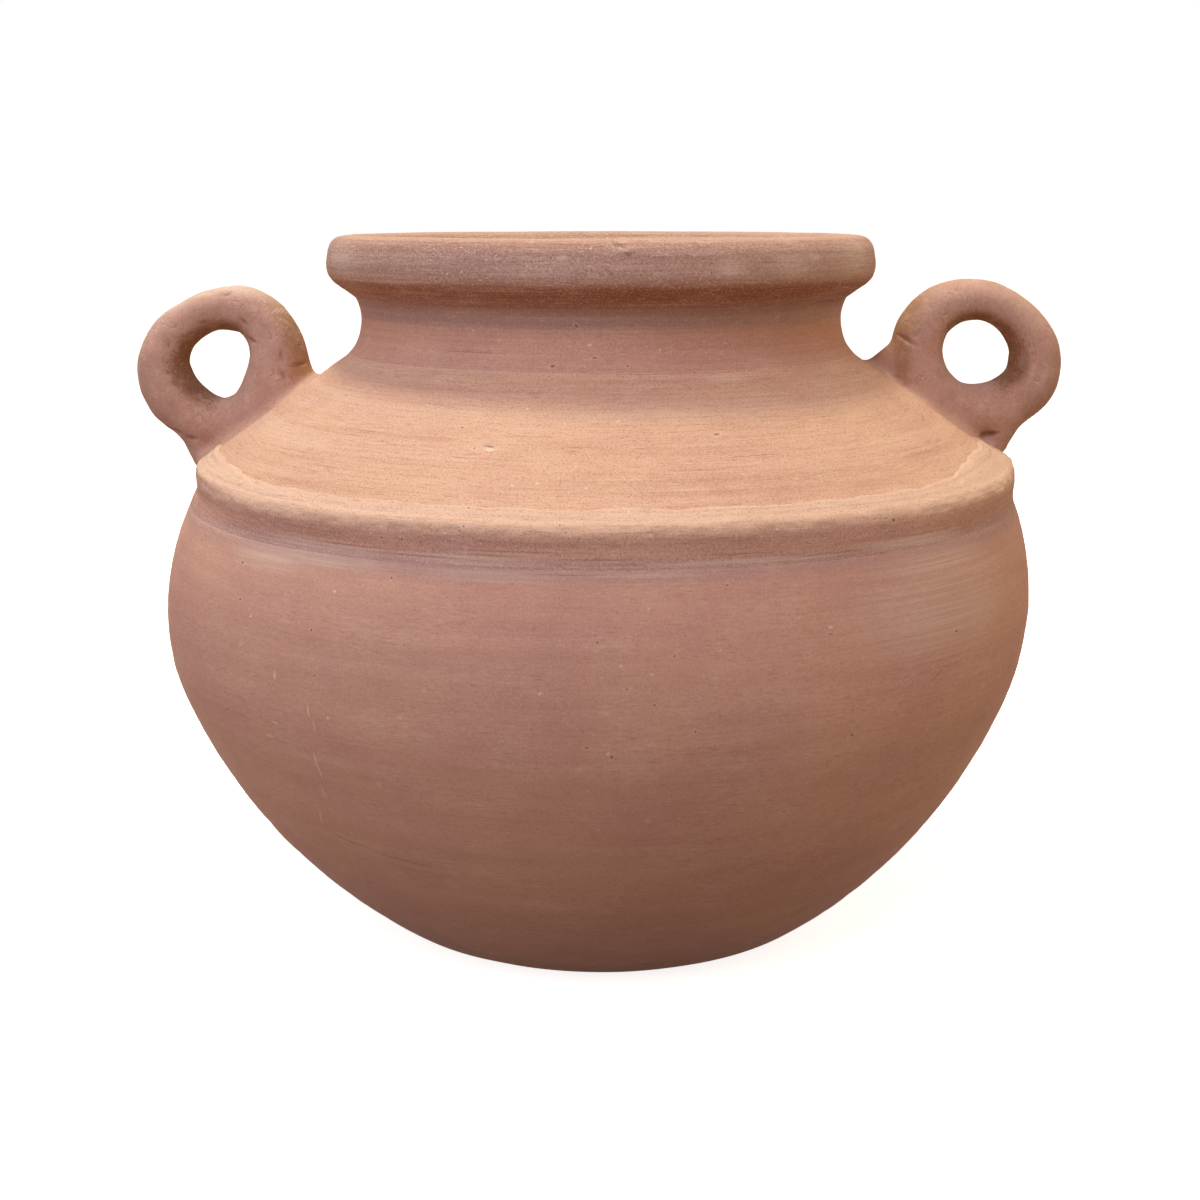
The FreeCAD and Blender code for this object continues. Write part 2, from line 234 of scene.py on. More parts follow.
# The ridge where the wet shoulder was lapped over the belly: dragged grit, pits along the edge, pale slip at its foot,
# a painted highlight on its crown and painted shade at its foot
ridgeLook = dict(
    shoulderLook, name="terracottaLappedRidge", sun="#CEA08E", rose="#C5978A",
    # painted light: the first band, paler towards the crown, is a painted highlight; the second, mauve towards the
    # foot, painted shade
    paintedLightAndShade=(("#E2C0A9", 0.85, 235, 241.5), ("#B8938C", 0.9, 230.5, 227)), dashShow=0.36, lineShow=0.3, grainShow=0.6,
    gritCell=8, grainDepth=0.2,
    pitsAndShadows=((-16, 241.4, 0.9, 0.7), (-16.4, 239.6, 0.7, 0.6), (-4.9, 243, 0.9, 0.5, -10), (36.4, 238.3, 1.6, 1.2),
          (33.6, 239.9, 0.7, 0.6), (-26.3, 234.2, 0.9, 0.8), (-23.6, 234.3, 0.8), (-16.1, 248.2, 0.8, 0.6)),
    lines=((-12.8, 229.9, 17.9, 0.4), (-9.4, 231.7, 25.1, 0.4), (27, 227.4, 26.2, 0.4), (2.5, 227.1, 9.9, 0.4),
           (-31, 229.6, 24, 0.45), (-21, 228, 28, 0.45), (15, 230, 24, 0.4), (-1, 229, 20, 0.45)),
    specks=((2.9, 247.6, 0.7), (20, 239.5, 0.7, 0.6)),
    bloomsAndSheen=((54, 247, 4.7, 1.8, 20), (-36, 227.5, 46, 4), (-16, 227.5, 40, 3), (18, 227, 60, 1.5), (40, 227.5, 44, 4)))
# The neck was drawn in wet between the fingers: smoother, with a few nicks; painted shade: the rim's shadow on its
# upper part and darker brown right under the rim
neckLook = dict(
    bellyLook, name="terracottaDrawnNeck", sun="#CDA08E", rose="#C49687",
    # painted shade: grey-mauve on the upper neck for the rim's shadow, a thin darker brown band right under the rim
    paintedLightAndShade=(("#AD8E88", 0.95, 313.5, 319.5), ("#8E5334", 0.3, 321, 326)), band=(260, 5), bandShow=0.16, dashShow=0.28,
    lineShow=0.16, grainShow=0.38, gritCell=14,
    pitsAndShadows=((-9.9, 300.8, 1.7, 0.9, 15), (5.3, 300.9, 1, 0.8), (-1.3, 304.4, 1.6, 0.7), (-5.1, 318.4, 1.8, 0.8, -40)),
    lines=((-28.9, 305.7, 21, 0.4),), specks=((-2.4, 310, 1.4, 0.8), (-22, 311.5, 0.6), (12.2, 307.6, 0.6)),
    bloomsAndSheen=())
# The rim was brushed round with a wet sponge: coarse sand shows, with close lines, cracks and pale bloom; painted
# shade under the rim and on its rounded top below the lip, painted shadows at the chip and the lump, painted sheen on
# its ends
rimLook = dict(
    bellyLook, name="terracottaSpongedRim", sun="#C19F94", rose="#B7968B",
    # painted shade: dark brown under the rim's lower edge, mauve below it, darker on the rounded top up to the lip,
    # which keeps its own colour
    paintedLightAndShade=(("#8E5334", 0.85, 340, 333.5), ("#AD8E88", 0.5, 331, 327.5), ("#9C7466", 0.45, 350.5, 354.5),
            ("#C39D8D", 0.9, 355, 356.8)),
    band=(260, 4), bandShow=0.22, dashShow=0.5, dash=(7, 0.9), lineShow=0.34, longLine=(70, 1.1), grain=(1, 1),
    grainShow=0.8, gritCell=6.5, gritShow=0.35, dashDepth=0.14, grainDepth=0.26,
    # the last two pits are painted shadows, in the chip and below the lump
    pitsAndShadows=((-9.1, 348.9, 0.8), (-13.6, 350.9, 0.6), (15.9, 328.3, 1.2, 0.9), (25.5, 328.9, 1.3, 0.9, 20),
          (2.6, 354.3, 2.6, 0.5, -30), (4.9, 350.2, 2.2, 0.5)),
    lines=((-7.2, 354.6, 20.3, 0.6), (-28.9, 354.6, 7.7, 0.5), (-43.3, 352.9, 10.1, 0.5), (-0.7, 336.9, 9.7, 0.5),
           (7.3, 355.8, 7.1, 0.5), (3.7, 354, 4, 0.8, -35), (18.5, 353.4, 10.2, 0.5), (32.8, 346.5, 7.5, 0.5)),
    specks=((-21.3, 347.8, 0.7), (-26.3, 342.5, 0.8, 0.7), (-29.6, 341.6, 0.7), (-22.6, 338.8, 0.6),
            (-1.9, 352.9, 0.8)),
    # the last two, on the rim's ends, are painted sheen
    bloomsAndSheen=((-7, 348.9, 3.5, 2.2), (24.4, 344.2, 8.8, 6), (44.7, 347.8, 6.5, 2.8), (38, 345, 16, 7),
            (61, 346.5, 26, 9.5), (-64, 346.5, 26, 9)))
# The handles were rolled and smeared by hand: no rings, soft clouds and thin folds where fingers pressed the wet clay.
# Painted shade inside the rings, in the finger creases and, warm as from the neck's bounce, on the side that faces the
# neck; a painted highlight on the left handle's top
handleLook = dict(
    bellyLook, name="terracottaHandRolled", girth=None, paintedLightAndShade=(), sun="#C9A394", rose="#C1988A", patch=(35, 35),
    cloud=(9, 9), cloudShow=0.24, bandShow=0, dashShow=0.25, dash=(2.5, 2.5), lineShow=0, grainShow=0.3, gritCell=16,
    grainDepth=0.12, foldShow=0.16, fold=(8, 8), foldDepth=0.3,
    # smear takes the shoulder's clay near the joint; the other tints are painted light: shade on the side facing the
    # neck, shade on the hole walls, a highlight on top and shade in the finger creases
    tints=(("smear", "#D6AE94", 0.6), ("paintedNeckSideShade", "#AE835A", 0.78), ("paintedHoleShade", "#855E3E", 0.9),
           ("paintedTopLight", "#EAD6CA", 0.5), ("crease", "#6F4A3A", 0.8)),
    pitsAndShadows=(), lines=(), specks=(), bloomsAndSheen=())


def clayMaterial(look):
    material = bpy.data.materials.new(look["name"])
    material.use_nodes = True
    tree = material.node_tree
    shader = tree.nodes["Principled BSDF"]
    node = partial(addNode, tree)
    maths, vectors = [partial(operate, tree, kind) for kind in ("ShaderNodeMath", "ShaderNodeVectorMath")]
    coords = node("ShaderNodeTexCoord").outputs["Object"]
    axes = node("ShaderNodeSeparateXYZ", {0: coords}).outputs

    def stored(name):
        return node("ShaderNodeAttribute", attribute_name=name).outputs["Fac"]

    # Turned pieces store the way along their section: rings keep their width on flat and steep skin
    up = stored(look["girth"]) if look["girth"] else axes["Z"]
    onSkin = node("ShaderNodeCombineXYZ", {"X": axes["X"], "Y": axes["Y"], "Z": up})

    def streaks(name, detail):
        run, width = look[name]
        vector = vectors("MULTIPLY", onSkin, (1 / (run * mm), 1 / (run * mm), 1 / (width * mm)))
        return node("ShaderNodeTexNoise", {"Vector": vector, "Scale": 1, "Detail": detail})

    def spread(source, low, high, start=0, end=1):
        return node("ShaderNodeMapRange", {"Value": source, "From Min": low, "From Max": high, "To Min": start,
                                           "To Max": end}, interpolation_type="SMOOTHSTEP")

    def blend(amount, under, over):
        return node("ShaderNodeMix", {0: amount, 6: under, 7: linear(over)}, data_type="RGBA").outputs[2]

    def shades(colour, source, show, reach=0.26):  # paler where a pattern is high, deeper where low, none at 0.5
        colour = blend(spread(source, 0.52, 0.52 + reach, 0, show), colour, look["pale"])
        return blend(spread(source, 0.48, 0.48 - reach, 0, show), colour, look["deep"])

    patches, clouds = streaks("patch", 4), streaks("cloud", 4)
    grain, dashes = streaks("grain", 2), streaks("dash", 2)
    colour = blend(spread(patches, *patternEdges["patch"]), linear(look["sun"]), look["rose"])
    for tint, show, start, full in look["paintedLightAndShade"]:  # painted light and shade by height: shade under and atop the rim, on the neck and at the ridge's foot, a highlight on the ridge's crown
        colour = blend(spread(axes["Z"], start * mm, full * mm, 0, show), colour, tint)
    for part, tint, show in look["tints"]:
        colour = blend(maths("MULTIPLY", stored(part), show), colour, tint)
    colour = shades(colour, clouds, look["cloudShow"], 0.2)
    if look["bandShow"]:
        colour = shades(colour, streaks("band", 2), look["bandShow"])
    if look["lineShow"]:
        longLines = streaks("longLine", 1)
        colour = shades(colour, longLines, look["lineShow"], 0.3)
    least = look["dashLeast"] * look["dashShow"]  # dashes come and go in patches
    dashPlace = spread(clouds, *patternEdges["dashPlace"], least, look["dashShow"])
    colour = shades(colour, dashes, dashPlace)
    colour = shades(colour, grain, look["grainShow"])

    cells = node("ShaderNodeTexVoronoi", {"Vector": coords, "Scale": 1 / (look["gritCell"] * mm)})
    pick = node("ShaderNodeSeparateColor", {0: cells.outputs["Color"]}).outputs[0]
    middle = maths("MULTIPLY", cells.outputs["Distance"], look["gritCell"])  # mm off the middle of a grain
    near = spread(middle, *patternEdges["grit"])
    isGrit = maths("MULTIPLY", near, spread(pick, *patternEdges["gritPick"]))
    isHole = maths("MULTIPLY", near, spread(pick, *patternEdges["holePick"]))
    colour = blend(maths("MULTIPLY", isGrit, look["gritShow"]), colour, look["grit"])

    fine = 1 / (look["raggedSize"] * mm)
    jitter = node("ShaderNodeTexNoise", {"Vector": coords, "Scale": fine, "Detail": 1})
    ragged = vectors("MULTIPLY_ADD", jitter.outputs["Color"], (mm, mm, mm), coords)

    def nearest(marks):  # 0 in the middle of the nearest mark, 1 at its edge
        best = 9
        for mark in marks:
            middle, *ways = markAxes(*mark)
            off = vectors("SUBTRACT", ragged, middle + Vector((mm, mm, mm)) / 2)
            u, v = [vectors("DOT_PRODUCT", off, way).outputs["Value"] for way in ways]
            far = vectors("LENGTH", node("ShaderNodeCombineXYZ", {"X": u, "Y": v}))
            best = maths("MINIMUM", best, far.outputs["Value"])
        return best

    pittedAndShaded = isHole
    # pale bloom, and on the rim's ends painted sheen
    if look["bloomsAndSheen"]:
        bloomAndSheen = spread(nearest(look["bloomsAndSheen"]), *markFade["bloomsAndSheen"])
        bloomAndSheen = maths("MULTIPLY", bloomAndSheen, spread(longLines, *patternEdges["haze"]))
        colour = blend(bloomAndSheen, colour, look["grit"])
    for kind, tint in (("lines", "deep"), ("specks", "grit")):
        if look[kind]:
            colour = blend(spread(nearest(look[kind]), *markFade[kind]), colour, look[tint])
    # pits darken to the hole colour with pale rims; on the rim two of them are painted shadows
    if look["pitsAndShadows"]:
        toPitAndShadow = nearest(look["pitsAndShadows"])
        colour = blend(spread(toPitAndShadow, *markFade["pitRims"]), colour, look["grit"])
        pittedAndShaded = maths("MAXIMUM", isHole, spread(toPitAndShadow, *markFade["pitsAndShadows"]))
    colour = blend(maths("MULTIPLY", pittedAndShaded, look["holeShow"]), colour, look["hole"])

    height = maths("MULTIPLY", dashes, look["dashDepth"])
    height = maths("MULTIPLY_ADD", grain, look["grainDepth"], height)
    if look["foldShow"]:
        fold = maths("ABSOLUTE", maths("SUBTRACT", streaks("fold", 2), 0.5))
        fold = maths("MULTIPLY", spread(fold, *patternEdges["fold"]), spread(clouds, *patternEdges["foldPlace"]))
        colour = blend(maths("MULTIPLY", fold, look["foldShow"]), colour, look["deep"])
        height = maths("MULTIPLY_ADD", fold, -look["foldDepth"], height)
    bump = node("ShaderNodeBump", {"Height": height, "Distance": mm, "Strength": 1})
    tree.links.new(colour, shader.inputs["Base Color"])
    tree.links.new(bump.outputs[0], shader.inputs["Normal"])
    for name, key in (("Roughness", "roughness"), ("IOR", "ior"), ("Specular IOR Level", "sheen")):
        shader.inputs[name].default_value = look[key]
    return material


bellyClay, shoulderClay, ridgeClay, neckClay, rimClay, handleClay = [
    clayMaterial(look) for look in (bellyLook, shoulderLook, ridgeLook, neckLook, rimLook, handleLook)]
print("clay finishes ready")

# What hands on the wheel leave: lean, slow wobble and throwing rings, in metres
handMade = {"Lean": 2 * lean["reach"] * mm, "Wobble": 2.2 * mm, "Wobble Size": 0.17, "Ripple": 0.9 * mm,
            "Ripple Width": 7 * mm, "Seed": 3.7}
weld = 0.02 * mm


def thrownTree():
    # A section is turned round the axis; the result wobbles, leans and carries throwing rings
    tree = bpy.data.node_groups.new("thrownClay", "GeometryNodeTree")
    node = partial(addNode, tree)
    maths, vectors, counts = [partial(operate, tree, kind) for kind in (
        "ShaderNodeMath", "ShaderNodeVectorMath", "FunctionNodeIntegerMath")]
    face = tree.interface
    inputs = dict(Section="Geometry", Rows="Int", Segments="Int", **dict.fromkeys(handMade, "Float"), Clay="Material")
    for name, kind in inputs.items():
        face.new_socket(name, in_out="INPUT", socket_type="NodeSocket" + kind)
    face.new_socket("Piece", in_out="OUTPUT", socket_type="NodeSocketGeometry")
    given = node("NodeGroupInput").outputs
    index = node("GeometryNodeInputIndex")
    rowCount, stripCount = counts("ADD", given["Rows"], 1), counts("ADD", given["Segments"], 1)
    row = counts("MODULO", counts("DIVIDE_FLOOR", index, stripCount), given["Rows"])
    strip = counts("MODULO", counts("MODULO", index, stripCount), given["Segments"])
    angle = maths("MULTIPLY", maths("DIVIDE", strip, given["Segments"]), 2 * math.pi)
    grid = node("GeometryNodeMeshGrid", {"Vertices X": rowCount, "Vertices Y": stripCount})

    def onSection(value, kind):
        return node("GeometryNodeSampleIndex", {0: given["Section"], "Value": value, "Index": row}, data_type=kind,
                    domain="POINT")

    def turned(vector):
        return node("ShaderNodeVectorRotate", {"Vector": vector, "Axis": (0, 0, 1), "Angle": angle},
                    rotation_type="AXIS_ANGLE")

    def stored(name, kind):
        return onSection(node("GeometryNodeInputNamedAttribute", {"Name": name}, data_type=kind), kind)

    def swing(vector, detail, reach):  # seeded noise, as far inward as outward
        waves = node("ShaderNodeTexNoise", {"Vector": vector, "W": given["Seed"], "Scale": 1, "Detail": detail},
                     noise_dimensions="4D")
        return maths("MULTIPLY", maths("SUBTRACT", waves, 0.5), reach)

    def pushed(place, way, amount):
        move = node("ShaderNodeVectorMath", {0: way, "Scale": amount}, operation="SCALE")
        return vectors("ADD", place, move)

    spot = onSection(node("GeometryNodeInputPosition"), "FLOAT_VECTOR")
    facing, girth = stored("facing", "FLOAT_VECTOR"), stored("girth", "FLOAT")
    place, outward = turned(spot), turned((1, 0, 0))
    place = pushed(place, outward, swing(vectors("DIVIDE", place, given["Wobble Size"]), 1, given["Wobble"]))
    ringSpot = node("ShaderNodeCombineXYZ", {"Z": maths("DIVIDE", girth, given["Ripple Width"])})
    ringSpot = vectors("MULTIPLY_ADD", outward, (2, 2, 2), ringSpot)
    place = pushed(place, turned(facing), swing(ringSpot, 2, given["Ripple"]))

    high = maths("DIVIDE", node("ShaderNodeSeparateXYZ", {0: spot}).outputs["Z"], pot["top"] * mm)
    bend = node("ShaderNodeFloatCurve", {"Value": high})
    line = bend.mapping.curves[0]
    for i, (z, shift) in enumerate(zip(leanHeights, leanShifts)):
        spotOn = (z / pot["top"], 0.5 + shift / (2 * lean["reach"]))
        point = line.points[i] if i < 2 else line.points.new(*spotOn)
        point.location = spotOn
        point.handle_type = "VECTOR"
    bend.mapping.update()
    bend = maths("MULTIPLY", maths("SUBTRACT", bend, 0.5), given["Lean"])
    place = vectors("ADD", place, node("ShaderNodeCombineXYZ", {"X": bend}))

    made = node("GeometryNodeStoreNamedAttribute", {"Geometry": grid, "Name": "girth", "Value": girth},
                data_type="FLOAT", domain="POINT")
    made = node("GeometryNodeSetPosition", {"Geometry": made, "Position": place})
    made = node("GeometryNodeMergeByDistance", {"Geometry": made, "Distance": weld})
    made = node("GeometryNodeRealizeInstances", {"Geometry": made})
    made = node("GeometryNodeSetMaterial", {"Geometry": made, "Material": given["Clay"]})
    node("NodeGroupOutput", {0: made})
    return tree


thrown = thrownTree()
thrownInputs = {item.name: item.identifier for item in thrown.interface.items_tree if item.in_out == "INPUT"}


def turnPiece(name, runs, clay):
    # runs go once round the section: (points, girth at the start, girth at the end) for a skin, (points,) for a seam
    rows = []  # place and facing (3 columns each) and girth
    for points, *ends in runs:
        if ends:
            step = np.gradient(points, axis=0)
            step /= np.linalg.norm(step, axis=1)[:, None]
            girth = np.linspace(*ends, len(points)) * mm
        else:
            points = points[1:-1]
            step, girth = np.zeros_like(points), np.full(len(points), rows[-1][-1, 6])
        none = np.zeros(len(points))
        x, z = points.T * mm
        rows.append(np.stack([x, none, z, step[:, 1], none, -step[:, 0], girth], axis=1))
    rows = np.concatenate(rows)
    count = len(rows)
    section = bpy.data.meshes.new(name + "_section")
    section.from_pydata(rows[:, :3].tolist(), [(i, (i + 1) % count) for i in range(count)], [])
    rows = rows.astype(np.float32)
    section.attributes.new("facing", "FLOAT_VECTOR", "POINT").data.foreach_set("vector", rows[:, 3:6].ravel())
    section.attributes.new("girth", "FLOAT", "POINT").data.foreach_set("value", rows[:, 6].copy())
    wheel = addObject(name + "_wheel", section)
    modifier = wheel.modifiers.new("thrown", "NODES")
    modifier.node_group = thrown
    for key, value in {"Rows": count, "Segments": segments, "Clay": clay, **handMade}.items():
        modifier[thrownInputs[key]] = value
    graph = bpy.context.evaluated_depsgraph_get()
    mesh = bpy.data.meshes.new_from_object(wheel.evaluated_get(graph), preserve_all_data_layers=True, depsgraph=graph)
    bpy.data.objects.remove(wheel)
    mesh.name = name
    return mesh


def spotsOf(mesh):
    spots = np.zeros(len(mesh.vertices) * 3, np.float32)
    mesh.vertices.foreach_get("co", spots)
    return spots.reshape(-1, 3).astype(float)


def setSpots(mesh, spots):
    mesh.vertices.foreach_set("co", spots.astype(np.float32).ravel())
    mesh.update()


sharpAngle = math.radians(42)


def finishPiece(mesh, node):  # a piece is named after the node that it replaces
    work = bmesh.new()
    work.from_mesh(mesh)
    volume = work.calc_volume(signed=True)
    work.free()
    if volume < 0:
        mesh.flip_normals()
    mesh.shade_smooth()
    mesh.set_sharp_from_angle(angle=sharpAngle)
    piece = addObject("urn_" + node, mesh)
    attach(piece, "root")
    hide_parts(node)
    print(piece.name, len(mesh.vertices), "points", round(abs(volume) * 1e6, 1), "cm3")


def chip(mesh, nicks):  # marks with a depth at the end; a lump has a negative depth
    spots = spotsOf(mesh)
    for *mark, depth in nicks:
        middle, along, across = markAxes(*mark)
        off = spots - np.array(middle)
        near = np.clip(1 - (off @ np.array(along)) ** 2 - (off @ np.array(across)) ** 2, 0, 1)
        near = near * (np.linalg.norm(off, axis=1) < 2 * (mark[2] + mark[3]) * mm)  # leaves out the far side
        angle = math.radians(mark[0])
        spots += np.outer(near * depth * mm, (-math.sin(angle), math.cos(angle), 0))
    setSpots(mesh, spots)


# The ridge: a soft roll a little outside the pot's outline, then the lap as radius and lift off the shoulder's slope.
# By the left and right handle the lap is smeared further up, and the ridge is pressed back at the left, out at the
# right. Fades go from none to full, in degrees from the handle or mm of height. Waves: height, size and place
ridge = dict(
    roll=((212.9, 225.9), (212.35, 228.3), (212.2, 230.5), (212.2, 232.5), (212.3, 234.5), (212.4, 236.4),
          (212.3, 238.2), (211.8, 240), (211, 241.6), (209.9, 243), (208.5, 244.1)),
    lap=((207.2, 0.45), (205.5, 0.8), (204, 0.85), (203, 1.15), (202.6, 1), (202.2, 0.3), (201.9, -0.4)),
    liftWay=(0.57, 0.82), lapFoot=207.2, lapRun=5.5, lapUnder=0.6, back=(203.5, 241.5), smear=(5, 9),
    smearFade=(46, 20), smearWaves=((1.6, 16, 0), (0.8, 5, 9)), press=(-2.2, 0.8), pressFade=((45, 20), (17, 4)),
    pressFoot=(225, 234), pressTop=(244, 239), crown=3.5, crownFoot=(238.5, 244.5), crownTop=(252, 245.5),
    gritWaves=((0.5, 6), (0.4, 2.8)), gritFoot=(233, 239), gritTop=(246.5, 243.5))


def pressRidge(mesh):
    spots = spotsOf(mesh) / mm
    off = spots[:, 0] - shiftAt(spots[:, 2])
    r = np.hypot(off, spots[:, 1])
    fromHandle = np.degrees(np.arctan2(np.abs(spots[:, 1]), np.abs(off)))

    def push(amount):
        spots[:, 0] += off / r * amount
        spots[:, 1] += spots[:, 1] / r * amount

    def fade(name):
        return softStep(spots[:, 2], *ridge[name])

    smear = np.where(off > 0, ridge["smear"][1], ridge["smear"][0]) * softStep(fromHandle, *ridge["smearFade"])
    smear = smear + [sum(high * noise.noise(Vector((x, y, at)) / size) for high, size, at in ridge["smearWaves"])
                     for x, y, _ in spots]
    onLap = spots[:, 2] > slopeHeight(r) - ridge["lapUnder"]
    move = np.where(onLap, smear * np.clip((ridge["lapFoot"] - r) / ridge["lapRun"], 0, 1), 0)
    push(-move)
    spots[:, 2] += move * math.tan(math.radians(pot["slope"]))
    left, right = [press * softStep(fromHandle, *fades) for press, fades in zip(ridge["press"], ridge["pressFade"])]
    crown = 1 + ridge["crown"] * fade("crownFoot") * fade("crownTop")  # clay squeezed up under the right wad
    push(np.where(off > 0, right * crown, left * fade("pressTop")) * fade("pressFoot"))
    grit = [sum(high * noise.noise(Vector(p) / size) for high, size in ridge["gritWaves"]) for p in spots]
    push(fade("gritFoot") * fade("gritTop") * grit)
    setSpots(mesh, spots * mm)


# Girth is the way along the sections in mm: it runs on from course to course, so that no two have the same rings
girthRuns = dict(heel=18, ridge=30, neck=29, rim=95, inside=900, floor=90, under=1500)


def course(name, outside, inside, start, end, clay, topStep=steps["seam"], lowSeam=None):
    # A ring of wall: the outside upward, the inside downward and the seams between them
    topSeam = evenly([outside[-1], inside[0]], topStep)
    if lowSeam is None:
        lowSeam = evenly([inside[-1], outside[0]], steps["seam"])
    within = girthRuns["inside"]
    runs = (outside, start, end), (topSeam,), (inside, within + end, within + start), (lowSeam,)
    return turnPiece(name, runs, clay)


def dressPot():
    seat, wall, base, drain = pot["seat"], pot["wall"], pot["base"], pot["drain"]
    foot, heelTop, within, under = bellySkin(0), pot["heelTop"], girthRuns["inside"], girthRuns["under"]
    heel = [(foot - inset, z) for inset, z in pot["heel"]]
    heel = smoothly([*heel, (bellySkin(heelTop), heelTop)], steps["heel"])
    skin = np.concatenate([heel, bellyRun(heelTop, base, 0, steps["bowl"][0])[1:]])
    hole = smoothly([(drain + more, z) for more, z in pot["drainEdge"]], steps["drain"])
    floorRun = evenly([(bellySkin(base, wall), base), hole[0]], steps["floor"])
    underRun = evenly([hole[-1], heel[0]], steps["under"])
    mesh = turnPiece("base", [(skin, 0, girthRuns["heel"]), (evenly([skin[-1], floorRun[0]], steps["baseSeam"]),),
                              (floorRun, within, within + girthRuns["floor"]), (hole,),
                              (underRun, under, under + girthRuns["floor"])], bellyClay)
    spots = spotsOf(mesh)
    spots[:, 2] = np.maximum(spots[:, 2], 0)
    setSpots(mesh, spots)
    finishPiece(mesh, "base_slab")

    outside = bellyRun(base, pot["bowlSeam"], 0, steps["bowl"][0])
    inside = bellyRun(base, pot["bowlSeam"], wall, steps["bowl"][1])[::-1]
    tall = girthRuns["heel"] + lengthOf(outside)
    mesh = course("bowl", outside, inside, girthRuns["heel"], tall, bellyClay)
    finishPiece(mesh, "lower_bowl")

    outside = bellyRun(pot["bowlSeam"], seat, 0, steps["belly"][0])
    inside = bellyRun(pot["bowlSeam"], pot["seatInner"][1], wall, steps["belly"][1])[::-1]
    top = tall + lengthOf(outside)
    mesh = course("belly", outside, inside, tall, top, bellyClay, steps["seatSeam"])
    finishPiece(mesh, "belly_wall")

    liftOut, liftUp = ridge["liftWay"]
    lap = [(r + liftOut * lift, slopeHeight(r) + liftUp * lift) for r, lift in ridge["lap"]]
    front = smoothly([(bellySkin(seat), seat), *ridge["roll"], *lap], steps["ridge"])
    back = evenly([front[-1], ridge["back"], pot["seatMiddle"], front[0]], steps["ridgeBack"])
    over = top + girthRuns["ridge"]
    mesh = turnPiece("ridge", [(front, top, over), (back,)], ridgeClay)
    pressRidge(mesh)
    finishPiece(mesh, "shoulder_ridge")

    low, lowIn = flare(0), flare(wall)
    seam = pot["neckSeam"]
    outside = np.concatenate([evenly([pot["edge"], low], steps["slope"][0]),
                              neckRun(low[1], seam, 0, steps["flare"])[1:]])
    inside = np.concatenate([neckRun(lowIn[1], seam, wall, steps["neck"][1])[::-1],
                             evenly([lowIn, pot["seatInner"]], steps["slope"][1])[1:]])
    end = over + lengthOf(outside)
    lowSeam = evenly([pot["seatInner"], pot["seatMiddle"], pot["edge"]], steps["seam"])
    mesh = course("shoulder", outside, inside, over, end, shoulderClay, lowSeam=lowSeam)
    chip(mesh, pot["shoulderChips"])
    finishPiece(mesh, "shoulder_cone")

    outside = neckRun(seam, pot["rimSeam"], 0, steps["neck"][0])
    inside = neckRun(seam, pot["rimSeam"], wall, steps["neck"][1])[::-1]
    brim = end + girthRuns["neck"]
    mesh = course("neck", outside, inside, end, brim, neckClay)
    finishPiece(mesh, "neck_collar")

    roots = [(neckSkin(pot["rimSeam"], inset), pot["rimSeam"]) for inset in (0, wall)]
    roll = smoothly([roots[0], *rimFront, *rimBack, roots[1]], steps["rim"])
    rimSeam = evenly([roll[-1], roll[0]], steps["seam"])
    mesh = turnPiece("rim", [(roll, brim, brim + girthRuns["rim"]), (rimSeam,)], rimClay)
    chip(mesh, pot["rimChips"])
    finishPiece(mesh, "rim_roll")


dressPot()
print("pot turned")

# Handles in mm: stations round each ring (x outward from the axis, height, half thickness) and the pressed wads at its
# roots as tapered lumps from end to end. Folds are finger creases on the front: x, height, half sizes, tilt, depth
leftHandle = dict(
    side=-1,
    coil=((228, 291.7, 13.4), (221.9, 305.4, 11.3), (210.6, 314.4, 10.3), (197.1, 319, 11), (182, 317.7, 12.1),
          (171.2, 307, 13.6), (168, 292, 15), (173.3, 277.6, 14.6), (183.6, 264.8, 13.2), (198.4, 260.2, 13),
          (213.9, 265.6, 14), (224.8, 276.8, 14.5)),
    innerWad=((164, 291, 9.5), (156.5, 282.5, 8)), outerWad=((213, 262, 10.5), (208, 243, 7.5)),
    innerCut=((154.5, 298), (186, 250)), outerCut=((229, 262), (193, 246)), depth=0.92,
    # this handle takes the painted highlight on its top, the right one none; creaseShade sets the painted shade in its
    # finger creases
    fillet=((150, 5), (166, 10), (200, 10), (210, 8)), innerFold=5, outerFold=3.5, lumps=0.9, paintedTopLightShow=1,
    creaseShade=0.65,
    folds=((191.4, 327.2, 5, 1.6, 10, 0.6), (204, 312.5, 2.6, 1.6, 0, 0.7), (182.8, 313.1, 3.6, 1.5, -40, 1.2),
           (178.8, 303.1, 3.6, 1.5, -30, 1.2), (163.4, 296.1, 4, 1.4, -80, 1.2), (162.8, 286, 3.6, 1.4, -70, 1.2),
           (155.9, 291.4, 4.6, 1.4, 10, 1.1), (221.7, 302, 2.6, 1.4, 60, 0.6), (222.3, 287.3, 3.2, 1.5, -20, 0.7),
           (218.8, 281.4, 3.2, 1.5, -30, 0.7), (209.7, 277.9, 4.2, 1.5, -15, 0.7), (221.1, 256.8, 5.6, 1.8, -20, 1),
           (213.1, 253.3, 4.6, 1.8, -10, 1)))
